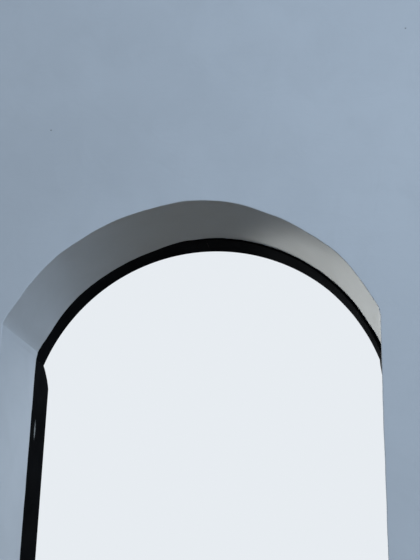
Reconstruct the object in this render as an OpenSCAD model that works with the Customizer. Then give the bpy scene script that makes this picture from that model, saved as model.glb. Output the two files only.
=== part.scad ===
// Arched gateway in a rendered garden wall, one bay long, with a steel lining at the back of
// its opening and a moulded cornice under the coping on both faces.
// Millimetres, +Z up. The origin lies on the ground, in the middle of the opening and of the
// wall's thickness. The entrance face looks along -Y, the courtyard face along +Y.

/* [Wall] */
// Length of the bay, from one cut end to the other
wall_len = 4500; // [3600:50:7000]
// Thickness of the wall, render included
wall_t = 525; // [480:5:800]
// Height of the masonry, from the ground to the bed of the coping
wall_h = 4865; // [4400:5:6500]
// Masonry over the crown of the arch that still belongs to the spandrels
crown_cover = 80; // [40:5:200]

/* [Opening] */
// Clear width between the plastered jambs
opening_w = 1500; // [1300:10:1800]
// Height of the springing above the ground
spring_z = 2600; // [2000:10:2900]
// Rise of the plastered arch, from the springing to the crown
arch_rise = 513; // [450:1:600]
// Radius of the tighter arc at the crown of the plaster
crown_r = 640; // [600:5:760]
// Angle that the crown arc takes on each side of the middle
crown_angle = 8; // [4:1:15]
// Depth of the plastered reveal, from the entrance face to the steel
reveal_d = 420; // [300:5:450]

/* [Arch band] */
// Height of the plaster's crown above the underside of the steel band
crown_lift = 8; // [0:1:11]
// Thickness of the rolled band
band_t = 12; // [12:1:18]
// Reach of the band out of the courtyard face
rim_out = 40; // [15:1:80]

/* [Jamb liners] */
// Thickness of a jamb liner
jamb_t = 12; // [8:1:20]
// Depth of a liner's face behind the plaster of its jamb
jamb_recess = 10; // [5:1:20]
// Reach of the jamb liners out of the courtyard face
jamb_out = 123; // [90:1:180]
// Height of the shoulder that eases a liner's rear edge into the rim of the band
shoulder_h = 90; // [60:1:160]
// Radius of the shoulder
shoulder_r = 200; // [130:1:400]

/* [Flange] */
// Thickness of the flange on the courtyard face
flange_t = 8; // [5:1:14]
// Width of the flange around the arch
flange_w = 60; // [30:1:120]

/* [Cornice] */
// Number of cornice lengths on each face
cornice_count = 3; // [3:1:3]
// Height of the lowest fascia
low_fascia_h = 43; // [20:1:60]
// Reach of the lowest fascia
low_fascia_out = 26; // [15:1:34]
// Height of the second fascia
high_fascia_h = 42; // [20:1:60]
// Reach of the second fascia
high_fascia_out = 50; // [40:1:56]
// Height of the lower cove
low_cove_h = 106; // [70:1:140]
// Reach of the lower cove at its foot
low_cove_foot = 62; // [56:1:70]
// Reach of the lower cove at its top
low_cove_top = 122; // [100:1:128]
// Height of the quirk under the torus
torus_quirk_h = 10; // [5:1:20]
// Reach of the quirk under the torus
torus_quirk_out = 130; // [125:1:138]
// Height of the torus
torus_h = 36; // [24:1:48]
// Reach of the torus
torus_out = 158; // [150:1:170]
// Height of the upper cove
high_cove_h = 130; // [90:1:170]
// Reach of the upper cove at its foot
high_cove_foot = 150; // [142:1:156]
// Reach of the upper cove at its top
high_cove_top = 240; // [210:1:244]
// Height of the bead over the upper cove
bead_h = 26; // [16:1:32]
// Reach of the bead
bead_out = 260; // [250:1:268]
// Height of the quirk under the coping
top_quirk_h = 22; // [10:1:30]
// Reach of the quirk under the coping
top_quirk_out = 244; // [235:1:250]

/* [Coping] */
// Number of coping slabs
coping_count = 5; // [5:1:5]
// Thickness of a slab at its edges
coping_edge = 35; // [30:1:60]
// Extra thickness along the middle, which sheds the rain to both faces
coping_fall = 30; // [10:1:60]
// Reach of the coping past each face of the wall
coping_out = 280; // [270:1:320]
// Width of the pointed joint between two slabs
coping_joint = 8; // [4:1:15]

/* [Hidden] */
$fn = 96;

render_white = [0.85, 0.86, 0.86];
cast_white = [0.88, 0.88, 0.86];
steel_black = [0.05, 0.055, 0.06];

// How far a cut runs past the faces that it opens
past = 10;

// Places across the thickness
front_y = -wall_t / 2;
rear_y = wall_t / 2;
seat_y = front_y + reveal_d;
rim_y = rear_y + rim_out;

// Plastered arch: the crown arc turns into a flatter arc on each haunch, with one tangent
half_w = opening_w / 2;
crown_z = spring_z + arch_rise;
crown_centre_z = crown_z - crown_r;
turn_x = crown_r * sin(crown_angle);
turn_z = crown_centre_z + crown_r * cos(crown_angle);
fall_x = half_w - turn_x;
fall_z = spring_z - turn_z;
haunch_r = -(fall_x ^ 2 + fall_z ^ 2) / (2 * (fall_x * sin(crown_angle) + fall_z * cos(crown_angle)));
haunch_centre_x = turn_x - haunch_r * sin(crown_angle);
haunch_centre_z = turn_z - haunch_r * cos(crown_angle);
head_z = crown_z + crown_cover;

// Steel band: one true circle through both springings of the plaster, that runs on down to
// the faces of the jamb liners
band_rise = arch_rise - crown_lift;
band_r = (half_w ^ 2 + band_rise ^ 2) / (2 * band_rise);
band_centre_z = spring_z + band_rise - band_r;
band_back_r = band_r + band_t;
flange_r = band_back_r + flange_w;

// Jamb liners sit in a rebate of the piers
rebate_d = jamb_recess + jamb_t;
liner_face_x = half_w + jamb_recess;
liner_back_x = half_w + rebate_d;
liner_rim_y = rear_y + jamb_out;
joint_z = band_centre_z + sqrt(band_r ^ 2 - liner_face_x ^ 2);
flange_end_x = sqrt(flange_r ^ 2 - (joint_z - band_centre_z) ^ 2);

// Cornice: levels of its members above its foot
high_fascia_v = low_fascia_h;
low_cove_v = high_fascia_v + high_fascia_h;
torus_quirk_v = low_cove_v + low_cove_h;
torus_v = torus_quirk_v + torus_quirk_h;
high_cove_v = torus_v + torus_h;
bead_v = high_cove_v + high_cove_h;
top_quirk_v = bead_v + bead_h;
cornice_h = top_quirk_v + top_quirk_h;
cornice_z = wall_h - cornice_h;
cornice_len = wall_len / cornice_count;

coping_len = (wall_len - (coping_count - 1) * coping_joint) / coping_count;

// Outlines in the plane of the wall are drawn as X and Z, and run from one depth to another
module through_wall(from_y, to_y)
    translate([0, to_y, 0])
        rotate([90, 0, 0])
            linear_extrude(to_y - from_y)
                children();

// Sections across the wall are drawn as Y and Z, and run from one X to another
module along_wall(from_x, to_x)
    translate([from_x, 0, 0])
        rotate([90, 0, 90])
            linear_extrude(to_x - from_x)
                children();

// Keeps what lies over a level, from one X to another
module over_level(level, from_x, to_x)
    intersection() {
        children();
        translate([from_x, level])
            square([to_x - from_x, wall_h]);
    }

// Plaster's outline over the springing: crown arc, and a flatter arc on each haunch
module plaster_arch()
    union() {
        over_level(spring_z, -turn_x - past, turn_x + past)
            translate([0, crown_centre_z])
                circle(crown_r);
        for (side = [-1, 1])
            over_level(spring_z, side < 0 ? -half_w : turn_x, side < 0 ? -turn_x : half_w)
                translate([side * haunch_centre_x, haunch_centre_z])
                    circle(haunch_r);
    }

module band_circle(r)
    translate([0, band_centre_z])
        circle(r);

// Ring around the band's centre, from the head of a jamb liner up to the crown
module half_ring(inner_r, outer_r, side)
    over_level(joint_z, side < 0 ? -outer_r : 0, side < 0 ? 0 : outer_r)
        difference() {
            band_circle(outer_r);
            band_circle(inner_r);
        }

// Masonry beside the opening, with the rebates that take the jamb liner and the band's tail
module pier(side)
    color(render_white)
        difference() {
            translate([side < 0 ? -wall_len / 2 : half_w, front_y, 0])
                cube([wall_len / 2 - half_w, wall_t, spring_z]);
            translate([side < 0 ? -liner_back_x : half_w - past, seat_y, -past])
                cube([rebate_d + past, rear_y - seat_y + past, joint_z + past]);
            through_wall(seat_y, rear_y + past)
                over_level(joint_z, -band_back_r, band_back_r)
                    band_circle(band_back_r);
        }

// Masonry over the springing, with the plastered soffit and the rebate behind the steel band
module spandrel(side)
    color(render_white)
        difference() {
            translate([side < 0 ? -wall_len / 2 : 0, front_y, spring_z])
                cube([wall_len / 2, wall_t, head_z - spring_z]);
            through_wall(front_y - past, rear_y + past)
                plaster_arch();
            through_wall(seat_y, rear_y + past)
                over_level(spring_z, -band_back_r, band_back_r)
                    band_circle(band_back_r);
        }

module wall_head()
    color(render_white)
        translate([-wall_len / 2, front_y, head_z])
            cube([wall_len, wall_t, wall_h - head_z]);

// Rolled steel plate under the back of the arch
module arch_band(side)
    color(steel_black)
        through_wall(seat_y, rim_y)
            half_ring(band_r, band_back_r, side);

// Flat steel ring on the courtyard face
module arch_flange(side)
    color(steel_black)
        through_wall(rear_y, rear_y + flange_t)
            half_ring(band_back_r, flange_r, side);

// Jamb liner seen along X: its head is as deep as the band, and a shoulder leads down from the
// band's rim to its own rear edge
module liner_outline() {
    foot = [liner_rim_y, joint_z - shoulder_h];
    head = [rim_y, joint_z];
    chord = norm(head - foot);
    inwards = [head.y - foot.y, foot.x - head.x] / -chord;
    centre = (foot + head) / 2 + inwards * sqrt(shoulder_r ^ 2 - (chord / 2) ^ 2);
    difference() {
        translate([seat_y, 0])
            square([liner_rim_y - seat_y, joint_z]);
        difference() {
            translate([head.x, foot.y])
                square([foot.x - head.x + past, shoulder_h + past]);
            translate(centre)
                circle(shoulder_r);
        }
    }
}

module jamb_liner(side)
    color(steel_black)
        along_wall(side < 0 ? -liner_back_x : liner_face_x, side < 0 ? -liner_face_x : liner_back_x)
            liner_outline();

module jamb_flange(side)
    color(steel_black)
        translate([side < 0 ? -flange_end_x : liner_back_x, rear_y, 0])
            cube([flange_end_x - liner_back_x, flange_t, joint_z]);

// Cornice members: each is drawn from the wall's face outwards, from its foot up
module fascia(reach, height)
    square([reach, height]);

module roundel(reach, height)
    union() {
        square([reach - height / 2, height]);
        translate([reach - height / 2, height / 2])
            circle(height / 2);
    }

// A hollow that leaves its foot upright and meets its top at an angle
module cove(foot, top, height) {
    width = top - foot;
    hollow_r = (width ^ 2 + height ^ 2) / (2 * width);
    difference() {
        square([top, height]);
        translate([foot + hollow_r, 0])
            circle(hollow_r);
    }
}

module cornice_section()
    union() {
        fascia(low_fascia_out, low_fascia_h);
        translate([0, high_fascia_v])
            fascia(high_fascia_out, high_fascia_h);
        translate([0, low_cove_v])
            cove(low_cove_foot, low_cove_top, low_cove_h);
        translate([0, torus_quirk_v])
            fascia(torus_quirk_out, torus_quirk_h);
        translate([0, torus_v])
            roundel(torus_out, torus_h);
        translate([0, high_cove_v])
            cove(high_cove_foot, high_cove_top, high_cove_h);
        translate([0, bead_v])
            roundel(bead_out, bead_h);
        translate([0, top_quirk_v])
            fascia(top_quirk_out, top_quirk_h);
    }

// Length number place of the cornice on the courtyard face, counted from the left end
module cornice_rear(place)
    color(cast_white)
        along_wall(-wall_len / 2 + (place - 1) * cornice_len, -wall_len / 2 + place * cornice_len)
            translate([rear_y, cornice_z])
                cornice_section();

module cornice_front(place)
    mirror([0, 1, 0])
        cornice_rear(place);

// Slab number place of the coping, counted from the left end
module coping(place) {
    from_x = -wall_len / 2 + (place - 1) * (coping_len + coping_joint);
    edge_y = rear_y + coping_out;
    color(cast_white)
        along_wall(from_x, from_x + coping_len)
            polygon([
                [-edge_y, wall_h],
                [edge_y, wall_h],
                [edge_y, wall_h + coping_edge],
                [0, wall_h + coping_edge + coping_fall],
                [-edge_y, wall_h + coping_edge],
            ]);
}

pier(-1);  // pier_left
pier(1);  // pier_right
spandrel(-1);  // spandrel_left
spandrel(1);  // spandrel_right
wall_head();
arch_band(-1);  // arch_band_left
arch_band(1);  // arch_band_right
arch_flange(-1);  // arch_flange_left
arch_flange(1);  // arch_flange_right
jamb_liner(-1);  // jamb_liner_left
jamb_liner(1);  // jamb_liner_right
jamb_flange(-1);  // jamb_flange_left
jamb_flange(1);  // jamb_flange_right
cornice_front(1);  // cornice_front_1
cornice_front(2);  // cornice_front_2
cornice_front(3);  // cornice_front_3
cornice_rear(1);  // cornice_rear_1
cornice_rear(2);  // cornice_rear_2
cornice_rear(3);  // cornice_rear_3
coping(1);  // coping_1
coping(2);  // coping_2
coping(3);  // coping_3
coping(4);  // coping_4
coping(5);  // coping_5
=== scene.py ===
"""Finishes the arched gateway: hand-formed render, steel lining, moulded cornice and coping."""

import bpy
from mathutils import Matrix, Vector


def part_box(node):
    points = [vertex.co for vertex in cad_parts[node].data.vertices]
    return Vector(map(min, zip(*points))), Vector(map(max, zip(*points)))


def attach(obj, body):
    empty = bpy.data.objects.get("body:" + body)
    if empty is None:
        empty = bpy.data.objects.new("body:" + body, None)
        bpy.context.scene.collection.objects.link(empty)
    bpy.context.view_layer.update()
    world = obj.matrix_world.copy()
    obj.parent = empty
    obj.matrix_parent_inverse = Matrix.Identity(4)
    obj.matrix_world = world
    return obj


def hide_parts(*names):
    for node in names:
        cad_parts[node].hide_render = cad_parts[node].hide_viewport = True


bl_info = {
    "name": "Arched Gateway",
    "version": (1, 0, 0),
    "blender": (4, 5, 0),
    "location": "3D View > Sidebar > Gateway",
    "description": "Finishes a bay of rendered garden wall: its arched opening, steel lining and cornice",
    "category": "Object",
}

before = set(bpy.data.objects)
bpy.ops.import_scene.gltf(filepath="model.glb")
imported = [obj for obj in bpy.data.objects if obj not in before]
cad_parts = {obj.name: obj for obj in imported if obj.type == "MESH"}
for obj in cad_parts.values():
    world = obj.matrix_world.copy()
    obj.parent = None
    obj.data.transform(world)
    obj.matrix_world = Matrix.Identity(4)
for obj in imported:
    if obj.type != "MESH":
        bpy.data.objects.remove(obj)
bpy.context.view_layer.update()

import math

import bmesh
import bpy
from bpy.props import FloatProperty, FloatVectorProperty, PointerProperty
from mathutils import Matrix, Vector, noise

# Sizes that the solids give, in metres
PIER_LOW, PIER_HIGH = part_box("pier_left")
HEAD_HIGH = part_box("wall_head")[1]
BAND_LOW, BAND_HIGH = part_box("arch_band_left")
LINER_LOW, LINER_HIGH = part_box("jamb_liner_left")
FLANGE_LOW, FLANGE_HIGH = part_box("jamb_flange_left")
RING_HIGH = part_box("arch_flange_left")[1]
CORNICE_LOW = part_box("cornice_rear_1")[0]
COPING_LOW, COPING_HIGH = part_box("coping_1")

WALL_END = -PIER_LOW.x
WALL_TOP = HEAD_HIGH.z
FRONT_Y = PIER_LOW.y
REAR_Y = PIER_HIGH.y
HALF_OPENING = -PIER_HIGH.x
SPRING_Z = PIER_HIGH.z
SEAT_Y = BAND_LOW.y
BAND_RIM_Y = BAND_HIGH.y
JOINT_Z = BAND_LOW.z
LINER_FACE_X = -LINER_HIGH.x
LINER_BACK_X = -LINER_LOW.x
LINER_RIM_Y = LINER_HIGH.y
FLANGE_END_X = -FLANGE_LOW.x
FLANGE_FACE_Y = FLANGE_HIGH.y
CORNICE_FOOT = CORNICE_LOW.z

# Steel band: a true circle through both springings of the plaster
BAND_T = LINER_BACK_X - LINER_FACE_X
BAND_RISE = BAND_HIGH.z - BAND_T - SPRING_Z
BAND_R = (HALF_OPENING ** 2 + BAND_RISE ** 2) / (2 * BAND_RISE)
BAND_BACK_R = BAND_R + BAND_T
BAND_CENTRE_Z = BAND_HIGH.z - BAND_BACK_R
FLANGE_R = RING_HIGH.z - BAND_CENTRE_Z

# Shoulder of the jamb liners, from the rim of the band down to their own rear edge
SHOULDER_H = 0.090
SHOULDER_R = 0.200

# How the right half of the steel band strays from its circle: degrees from the crown, and millimetres
RIGHT_BAND_HUMPS = ((0, 0), (40, 0), (50, -2.5), (60, -4.5), (69.8, -6))

# How far the rear edge of each liner leans away from the opening, as site-built plates do
LEFT_LEAN = -0.003
RIGHT_LEAN = 0.006

# Plaster arch: the circle that runs midway through its humps and hollows
PLASTER_R = 0.8076
PLASTER_CENTRE_Z = 2.3009

# Humps and hollows of the plaster: degrees from the crown, and millimetres off that circle
FRONT_HUMPS = ((-68, 10), (-59, 1), (-44, -1), (-35, -8), (-14, -8), (0, 3),
               (10, 5), (23, -2), (36, -1), (48, 7), (55, 5), (61, 4), (66, 8), (68, 2))
SEAT_HUMPS = ((-68, -7), (-62, -14), (-48, -10), (-32, -14), (-20, -13), (-6, 1),
              (6, 7), (32, 11), (48, 8), (61, 6), (68, 10))

# The same on the jambs: metres above the ground, and millimetres off the opening's half width
LEFT_FRONT_HUMPS = ((1.75, 0), (2.5, 9))
LEFT_SEAT_HUMPS = ((0, 0), (2.5, 0))
RIGHT_FRONT_HUMPS = ((1.2, 0), (1.8, -3), (2.1, -2), (2.5, 0))
RIGHT_SEAT_HUMPS = ((0, 9.5), (2.5, 9.5))

# Height under the springing over which a jamb's plaster eases into the arch's
CORNER_EASE = 0.05

# Rounded edges of the render: against the steel, and at the wall's ends and top
SEAT_EDGE = 0.0012
END_EDGE = 0.004

# How the render's mesh is divided: around each edge, through the thickness, along the reveal,
# up a jamb, over the arch, and from the opening out to the wall's edge
EDGE_STEPS = 4
END_STEPS = 5
REVEAL_STEPS = 16
JAMB_ROWS = 63
ARCH_ROWS = 168
FACE_SHARES = (0, 0.006, 0.016, 0.032, 0.055, 0.085, 0.125, 0.175, 0.235, 0.305, 0.385, 0.475,
               0.57, 0.67, 0.78, 0.9, 1)

# Two small chips in the paint over the arch
CHIPS = ((-0.622, FRONT_Y, 3.474), (0.902, FRONT_Y, 3.868))
CHIP_SIZE = (0.0035, 0.0040, 0.0030)

# Pale bluish patch painted on the left liner, at a depth where the face has about 0.4 of its lean
PALE_PATCH_PLACE = (-LINER_FACE_X - 0.4 * LEFT_LEAN, 0.244, 2.263)
PALE_PATCH_SIZE = (0.004, 0.007, 0.036)

# Height under their joint in which a jamb's steel turns in to meet the foot of the band
HEAD_EASE = 0.06

# Stitch welds of the flange: up each jamb, in metres, and around the arch, in degrees
JAMB_STITCHES = 13
FIRST_STITCH_Z = 0.06
STITCH_PITCH = 0.20
STITCH_LENGTH = 0.05
ARCH_STITCHES = 13
ARCH_STITCH_PITCH = 10.5
ARCH_STITCH_LENGTH = 3.485

# Members of the cornice from its foot up, in millimetres: reach and height
LOW_FASCIA = (26, 43)
HIGH_FASCIA = (50, 42)
LOW_COVE_FOOT, LOW_COVE_TOP, LOW_COVE_H = 62, 122, 106
TORUS_QUIRK = (130, 10)
TORUS = (158, 36)
HIGH_COVE_FOOT, HIGH_COVE_TOP, HIGH_COVE_H = 150, 240, 130
BEAD = (260, 26)
TOP_QUIRK = (244, 22)

# Throat under each edge of a coping slab, which makes rain drip off
THROAT_W = 0.012
THROAT_D = 0.006
THROAT_IN = 0.040

# Height of a coping slab's upright edge, and how far the pointing runs in under each slab
SLAB_EDGE_H = 0.035
POINTING_LAP = 0.003

# How many lengths the cornice has on each face, and how many slabs the coping has
CORNICE_LENGTHS = 3
COPING_SLABS = 5

# Colours of what lies on the finishes or shows through them
EARTH_SPLASH = (0.33, 0.31, 0.28)
PINHOLE = (0.10, 0.11, 0.12)
LEDGE_DUST = (0.42, 0.40, 0.36)
SLAB_GROWTH = (0.34, 0.335, 0.30)
SLAB_DRIP = (0.33, 0.32, 0.28)
STEEL_DUST = (0.0095, 0.0110, 0.0120)
RUBBED_STEEL = (0.17, 0.165, 0.16)
# Pale bluish colour of the patch painted on the left liner
PALE_PATCH_COLOUR = (0.26, 0.30, 0.33)

# Colour of the floor for the light that it throws back at the wall
FLOOR_THROW = (0.205, 0.172, 0.132)

# How glossy each surface is, as specular level
PAINT_GLOSS = 0.15
MORTAR_GLOSS = 0.2
STEEL_GLOSS = 0.004
FLOOR_GLOSS = 0.1


# Outlines and meshes

def normal_of(way):
    """Unit normal on the left of a direction in the plane of an outline."""
    return Vector((-way.y, way.x)).normalized()


def soften(outline, radius, steps=3, least_turn=20.0):
    """Rounds each corner of a closed outline that turns by more than least_turn degrees."""
    made = []
    for i, here in enumerate(outline):
        before = outline[i - 1]
        after = outline[(i + 1) % len(outline)]
        into = (here - before).normalized()
        out = (after - here).normalized()
        turn = into.angle_signed(out)
        if abs(math.degrees(turn)) < least_turn:
            made.append(here)
            continue
        slope = math.tan(abs(turn) / 2)
        reach = min(radius * slope, 0.45 * (here - before).length, 0.45 * (after - here).length)
        side = -1.0 if turn > 0 else 1.0
        centre = here - into * reach + normal_of(into) * side * reach / slope
        arm = here - into * reach - centre
        for k in range(steps + 1):
            made.append(centre + Matrix.Rotation(-turn * k / steps, 2) @ arm)
    return made


def inset(outline, depth):
    """Moves a closed outline inwards by depth, with mitred corners."""
    area = sum(a.x * b.y - b.x * a.y for a, b in zip(outline, outline[1:] + outline[:1]))
    side = 1.0 if area > 0 else -1.0
    made = []
    for i, here in enumerate(outline):
        first = normal_of(here - outline[i - 1])
        second = normal_of(outline[(i + 1) % len(outline)] - here)
        middle = (first + second).normalized()
        made.append(here + middle * side * depth / max(0.4, middle.dot(first)))
    return made


def run(outline, start, end, rounding, cuts, place, steps=3):
    """Carries a closed outline from start to end, with both end edges rounded.

    place(point, along) turns a point of the outline and a distance along the run into a 3-D point.
    rounding is the radius of the end edges, and cuts the number of stretches between them.
    """
    levels = []
    for k in range(steps + 1):
        angle = math.pi / 2 * k / steps
        levels.append((rounding * (1 - math.cos(angle)), rounding * (1 - math.sin(angle))))
    inner = end - start - 2 * rounding
    stops = [(start + along, depth) for along, depth in levels]
    stops += [(start + rounding + inner * k / cuts, 0.0) for k in range(1, cuts)]
    stops += [(end - along, depth) for along, depth in reversed(levels)]
    verts = []
    for along, depth in stops:
        ring = inset(outline, depth) if depth > 1e-6 else outline
        verts += [place(point, along) for point in ring]
    size = len(outline)
    faces = [tuple(range(size)), tuple(range(len(verts) - size, len(verts)))]
    for level in range(len(stops) - 1):
        for i in range(size):
            a = level * size + i
            b = level * size + (i + 1) % size
            faces.append((a, b, b + size, a + size))
    return verts, faces


def joined(parts):
    """One set of vertices and faces out of several."""
    verts = []
    faces = []
    for some_verts, some_faces in parts:
        first = len(verts)
        verts += some_verts
        faces += [tuple(first + i for i in face) for face in some_faces]
    return verts, faces


def clear_away(name):
    """Removes the object that an earlier run of the same step made."""
    old = bpy.data.objects.get(name)
    if old is not None:
        bpy.data.objects.remove(old)


def new_piece(name, shape, finish, replaced=(), crisp=38.0):
    """Makes a mesh object that rides on the wall and may stand for solids of the frame.

    Edges that turn by more than crisp degrees stay sharp.
    """
    clear_away(name)
    verts, faces = shape
    mesh = bpy.data.meshes.new(name)
    mesh.from_pydata([tuple(v) for v in verts], [], faces)
    if mesh.validate():
        raise RuntimeError(f"{name}: the mesh has faults")
    shell = bmesh.new()
    shell.from_mesh(mesh)
    bmesh.ops.recalc_face_normals(shell, faces=shell.faces)
    shell.to_mesh(mesh)
    shell.free()
    mesh.shade_smooth()
    mesh.set_sharp_from_angle(angle=math.radians(crisp))
    mesh.materials.append(finish)
    piece = bpy.data.objects.new(name, mesh)
    bpy.context.scene.collection.objects.link(piece)
    weighted = piece.modifiers.new("weighted_normals", "WEIGHTED_NORMAL")
    weighted.keep_sharp = True
    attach(piece, "root")
    if replaced:
        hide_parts(*replaced)
    return piece


def wave(x, y, z, size, seed):
    """Smooth noise between about -1 and 1, whose waves are size metres long."""
    return noise.noise(Vector((x / size + seed * 7.3, y / size - seed * 3.1, z / size + seed * 5.7)))


def ease(value, low, high):
    """0 below low, 1 above high, and a smooth way between them."""
    share = max(0.0, min(1.0, (value - low) / (high - low)))
    return share * share * (3 - 2 * share)


# Finishes

class Finish:
    """Node tree of one finish, with short ways to add and link its nodes."""

    def __init__(self, name):
        old = bpy.data.materials.get(name)
        if old is not None:
            bpy.data.materials.remove(old)
        self.material = bpy.data.materials.new(name)
        self.material.use_nodes = True
        self.tree = self.material.node_tree
        self.shader = self.tree.nodes["Principled BSDF"]
        self.place = self.node("ShaderNodeTexCoord").outputs["Object"]

    def node(self, kind, **settings):
        """Adds a node of a kind, with its settings."""
        made = self.tree.nodes.new(kind)
        for key, value in settings.items():
            setattr(made, key, value)
        return made

    def link(self, source, target):
        """Leads a node's output into an input."""
        self.tree.links.new(source, target)

    def stretched(self, x, y, z):
        """The place, scaled along each axis, so that a pattern runs longer one way."""
        made = self.node("ShaderNodeMapping")
        made.inputs["Scale"].default_value = (x, y, z)
        self.link(self.place, made.inputs["Vector"])
        return made.outputs["Vector"]

    def grain(self, scale, detail=2.0, roughness=0.5, distortion=0.0, place=None):
        """Noise around 0.5, with about scale grains to the metre."""
        made = self.node("ShaderNodeTexNoise")
        made.inputs["Scale"].default_value = scale
        made.inputs["Detail"].default_value = detail
        made.inputs["Roughness"].default_value = roughness
        made.inputs["Distortion"].default_value = distortion
        self.link(place or self.place, made.inputs["Vector"])
        return made.outputs["Fac"]

    def cells(self, scale):
        """Distance to the nearest of the points that are scattered at a scale."""
        made = self.node("ShaderNodeTexVoronoi")
        made.inputs["Scale"].default_value = scale
        self.link(self.place, made.inputs["Vector"])
        return made.outputs["Distance"]

    def ramp(self, value, low, high, to_low=0.0, to_high=1.0):
        """Goes smoothly from to_low to to_high as value goes from low to high."""
        made = self.node("ShaderNodeMapRange", interpolation_type="SMOOTHSTEP")
        made.inputs["From Min"].default_value = low
        made.inputs["From Max"].default_value = high
        made.inputs["To Min"].default_value = to_low
        made.inputs["To Max"].default_value = to_high
        self.link(value, made.inputs["Value"])
        return made.outputs["Result"]

    def maths(self, operation, first, second=0.0):
        """One calculation with a first and maybe a second value, each a number or a node's output."""
        made = self.node("ShaderNodeMath", operation=operation)
        for socket, value in zip(made.inputs, (first, second)):
            if isinstance(value, (int, float)):
                socket.default_value = value
            else:
                self.link(value, socket)
        return made.outputs["Value"]

    def times(self, *values):
        """Product of several values."""
        product = values[0]
        for value in values[1:]:
            product = self.maths("MULTIPLY", product, value)
        return product

    def blend(self, share, first, second):
        """Colour that goes from first to second as share goes from 0 to 1."""
        made = self.node("ShaderNodeMix", data_type="RGBA")
        self.link(share, made.inputs["Factor"])
        for socket, value in ((made.inputs[6], first), (made.inputs[7], second)):
            if isinstance(value, bpy.types.NodeSocket):
                self.link(value, socket)
            else:
                socket.default_value = (*value, 1.0)
        return made.outputs[2]

    def relief(self, height, depth, strength, under=None):
        """Normal of a relief of a height in metres, on top of the relief under it."""
        made = self.node("ShaderNodeBump")
        made.inputs["Distance"].default_value = depth
        made.inputs["Strength"].default_value = strength
        self.link(height, made.inputs["Height"])
        if under is not None:
            self.link(under, made.inputs["Normal"])
        return made.outputs["Normal"]

    def axis(self, source, which):
        """One of the three parts of a vector."""
        made = self.node("ShaderNodeSeparateXYZ")
        self.link(source, made.inputs["Vector"])
        return made.outputs[which]

    def facing_up(self, low, high):
        """1 on what faces up, and 0 on what stands upright or faces down."""
        normal = self.node("ShaderNodeNewGeometry").outputs["Normal"]
        return self.ramp(self.axis(normal, "Z"), low, high)

    def edges(self, radius):
        """1 along arrises and 0 on flats, from how far a bevelled normal leaves the surface's own."""
        bevel = self.node("ShaderNodeBevel", samples=4)
        bevel.inputs["Radius"].default_value = radius
        own = self.node("ShaderNodeNewGeometry").outputs["Normal"]
        product = self.node("ShaderNodeVectorMath", operation="DOT_PRODUCT")
        self.link(bevel.outputs["Normal"], product.inputs[0])
        self.link(own, product.inputs[1])
        return self.ramp(product.outputs["Value"], 0.80, 0.995, 1.0, 0.0)

    def patch(self, place, size, ragged):
        """1 inside a small uneven egg at a place, and 0 outside it."""
        away = self.node("ShaderNodeVectorMath", operation="SUBTRACT")
        self.link(self.place, away.inputs[0])
        away.inputs[1].default_value = place
        scaled = self.node("ShaderNodeVectorMath", operation="DIVIDE")
        self.link(away.outputs["Vector"], scaled.inputs[0])
        scaled.inputs[1].default_value = size
        length = self.node("ShaderNodeVectorMath", operation="LENGTH")
        self.link(scaled.outputs["Vector"], length.inputs[0])
        rag = self.ramp(self.grain(110.0, 6.0, 0.75, 1.0), 0.3, 0.7, -ragged, ragged)
        return self.ramp(self.maths("ADD", length.outputs["Value"], rag), 0.75, 1.1, 1.0, 0.0)

    def done(self, colour, roughness, normal, specular):
        """Sets the shader, and gives the finished material."""
        self.link(colour, self.shader.inputs["Base Color"])
        self.link(roughness, self.shader.inputs["Roughness"])
        self.link(normal, self.shader.inputs["Normal"])
        self.shader.inputs["Specular IOR Level"].default_value = specular
        return self.material


def shade(colour, share):
    """A colour made darker or lighter by a share."""
    return tuple(channel * share for channel in colour)


def wall_finish(base):
    """Trowelled render under matt wall paint: float waves, roller stipple, pinholes, splashed foot."""
    paint = Finish("gateway_render")
    # base holds painted shade: the white wall paint made darker and bluer
    broad = paint.ramp(paint.grain(0.8, 3.0, 0.55), 0.36, 0.64)
    colour = paint.blend(broad, shade(base, 0.96), shade(base, 1.02))
    small = paint.ramp(paint.grain(5.0, 4.0, 0.6, 0.6), 0.35, 0.75)
    colour = paint.blend(paint.times(small, 0.4), colour, shade(base, 0.92))
    low_down = paint.ramp(paint.axis(paint.place, "Z"), 0.02, 0.34, 1.0, 0.0)
    splash = paint.times(low_down, paint.ramp(paint.grain(14.0, 5.0, 0.65), 0.3, 0.75))
    colour = paint.blend(paint.times(splash, 0.5), colour, EARTH_SPLASH)
    pits = paint.ramp(paint.cells(3.1), 0.004, 0.012, 1.0, 0.0)
    for chip in CHIPS:
        pits = paint.maths("MAXIMUM", pits, paint.patch(chip, CHIP_SIZE, 0.2))
    colour = paint.blend(paint.times(pits, 0.8), colour, PINHOLE)
    roughness = paint.ramp(paint.grain(9.0, 3.0), 0.3, 0.7, 0.74, 0.88)
    normal = paint.relief(paint.grain(4.5, 3.0, 0.5, 1.2), 0.004, 0.45)
    strokes = paint.grain(1.0, 4.0, 0.6, 0.8, paint.stretched(8.0, 8.0, 30.0))
    normal = paint.relief(strokes, 0.0008, 0.5, normal)
    normal = paint.relief(paint.grain(230.0, 2.0, 0.6), 0.0005, 0.4, normal)
    normal = paint.relief(paint.maths("SUBTRACT", 1.0, pits), 0.002, 0.8, normal)
    return paint.done(colour, roughness, normal, PAINT_GLOSS)


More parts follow.
